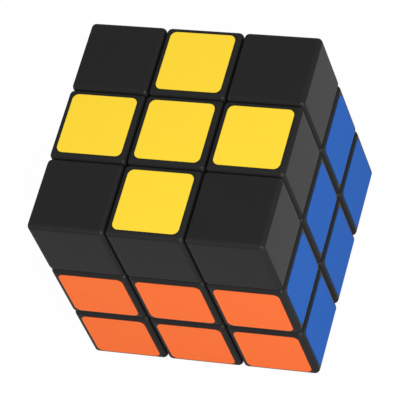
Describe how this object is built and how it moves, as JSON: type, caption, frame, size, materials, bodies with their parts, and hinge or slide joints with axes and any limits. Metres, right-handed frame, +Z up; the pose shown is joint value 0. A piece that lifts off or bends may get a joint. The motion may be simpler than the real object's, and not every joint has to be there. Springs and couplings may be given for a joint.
{
  "type": "twisty puzzle cube",
  "caption": "Twisty puzzle cube of black plastic cubies with coloured stickers; the outer layers turn on a screwed and sprung core.",
  "frame": {"origin": "middle of the core, where the three turning axes cross, which is also the middle of the cube", "axes": "+Z up through the yellow centre, -Y out of the front (orange) face, +X out of the right (blue) face"},
  "size_m": [0.0572, 0.0572, 0.0572],
  "materials": {
    "black_plastic": "satin moulded ABS, slightly grained",
    "core_nylon": "natural nylon",
    "zinc_steel": "zinc plated",
    "spring_steel": "drawn wire",
    "yellow_sticker": "satin vinyl film",
    "orange_sticker": "satin vinyl film",
    "blue_sticker": "satin vinyl film",
    "red_sticker": "satin vinyl film",
    "green_sticker": "satin vinyl film",
    "white_sticker": "satin vinyl film"
  },
  "bodies": {
    "core_and_belt": {"core": "core_nylon", "up_screw": "zinc_steel", "up_washer": "zinc_steel", "up_spring": "spring_steel", "down_screw": "zinc_steel", "down_washer": "zinc_steel", "down_spring": "spring_steel", "front_screw": "zinc_steel", "front_washer": "zinc_steel", "front_spring": "spring_steel", "right_screw": "zinc_steel", "right_washer": "zinc_steel", "right_spring": "spring_steel", "back_screw": "zinc_steel", "back_washer": "zinc_steel", "back_spring": "spring_steel", "left_screw": "zinc_steel", "left_washer": "zinc_steel", "left_spring": "spring_steel", "front_right_edge": "black_plastic", "right_back_edge": "black_plastic", "back_left_edge": "black_plastic", "left_front_edge": "black_plastic"},
    "up_layer": {"up_front_edge": "black_plastic", "up_right_edge": "black_plastic", "up_back_edge": "black_plastic", "up_left_edge": "black_plastic", "up_front_right_corner": "black_plastic", "up_right_back_corner": "black_plastic", "up_back_left_corner": "black_plastic", "up_left_front_corner": "black_plastic"},
    "down_layer": {"down_front_edge": "black_plastic", "down_right_edge": "black_plastic", "down_back_edge": "black_plastic", "down_left_edge": "black_plastic", "down_front_right_corner": "black_plastic", "down_right_back_corner": "black_plastic", "down_back_left_corner": "black_plastic", "down_left_front_corner": "black_plastic"},
    "up_centre_piece": {"up_centre": "black_plastic", "up_centre_cap": "black_plastic", "up_centre_sticker": "yellow_sticker"},
    "down_centre_piece": {"down_centre": "black_plastic", "down_centre_cap": "black_plastic", "down_centre_sticker": "white_sticker"},
    "front_centre_piece": {"front_centre": "black_plastic", "front_centre_cap": "black_plastic", "front_centre_sticker": "orange_sticker"},
    "right_centre_piece": {"right_centre": "black_plastic", "right_centre_cap": "black_plastic", "right_centre_sticker": "blue_sticker"},
    "back_centre_piece": {"back_centre": "black_plastic", "back_centre_cap": "black_plastic", "back_centre_sticker": "red_sticker"},
    "left_centre_piece": {"left_centre": "black_plastic", "left_centre_cap": "black_plastic", "left_centre_sticker": "green_sticker"}
  },
  "joints": [
    {"name": "up_layer_turn", "type": "hinge", "parent": "core_and_belt", "child": "up_layer", "pos_m": [0, 0, 0], "axis": [0, 0, 1], "continuous": true},
    {"name": "down_layer_turn", "type": "hinge", "parent": "core_and_belt", "child": "down_layer", "pos_m": [0, 0, 0], "axis": [0, 0, -1], "continuous": true},
    {"name": "up_centre_lift", "type": "slide", "parent": "up_layer", "child": "up_centre_piece", "axis": [0, 0, 1], "range_m": [0, 0.0006], "stiffness_N_per_m": 1000, "springref_m": -0.0015, "deforming": ["up_spring"]},
    {"name": "down_centre_lift", "type": "slide", "parent": "down_layer", "child": "down_centre_piece", "axis": [0, 0, -1], "range_m": [0, 0.0006], "stiffness_N_per_m": 1000, "springref_m": -0.0015, "deforming": ["down_spring"]},
    {"name": "front_centre_lift", "type": "slide", "parent": "core_and_belt", "child": "front_centre_piece", "axis": [0, -1, 0], "range_m": [0, 0.0006], "stiffness_N_per_m": 1000, "springref_m": -0.0015, "deforming": ["front_spring"]},
    {"name": "right_centre_lift", "type": "slide", "parent": "core_and_belt", "child": "right_centre_piece", "axis": [1, 0, 0], "range_m": [0, 0.0006], "stiffness_N_per_m": 1000, "springref_m": -0.0015, "deforming": ["right_spring"]},
    {"name": "back_centre_lift", "type": "slide", "parent": "core_and_belt", "child": "back_centre_piece", "axis": [0, 1, 0], "range_m": [0, 0.0006], "stiffness_N_per_m": 1000, "springref_m": -0.0015, "deforming": ["back_spring"]},
    {"name": "left_centre_lift", "type": "slide", "parent": "core_and_belt", "child": "left_centre_piece", "axis": [-1, 0, 0], "range_m": [0, 0.0006], "stiffness_N_per_m": 1000, "springref_m": -0.0015, "deforming": ["left_spring"]}
  ]
}
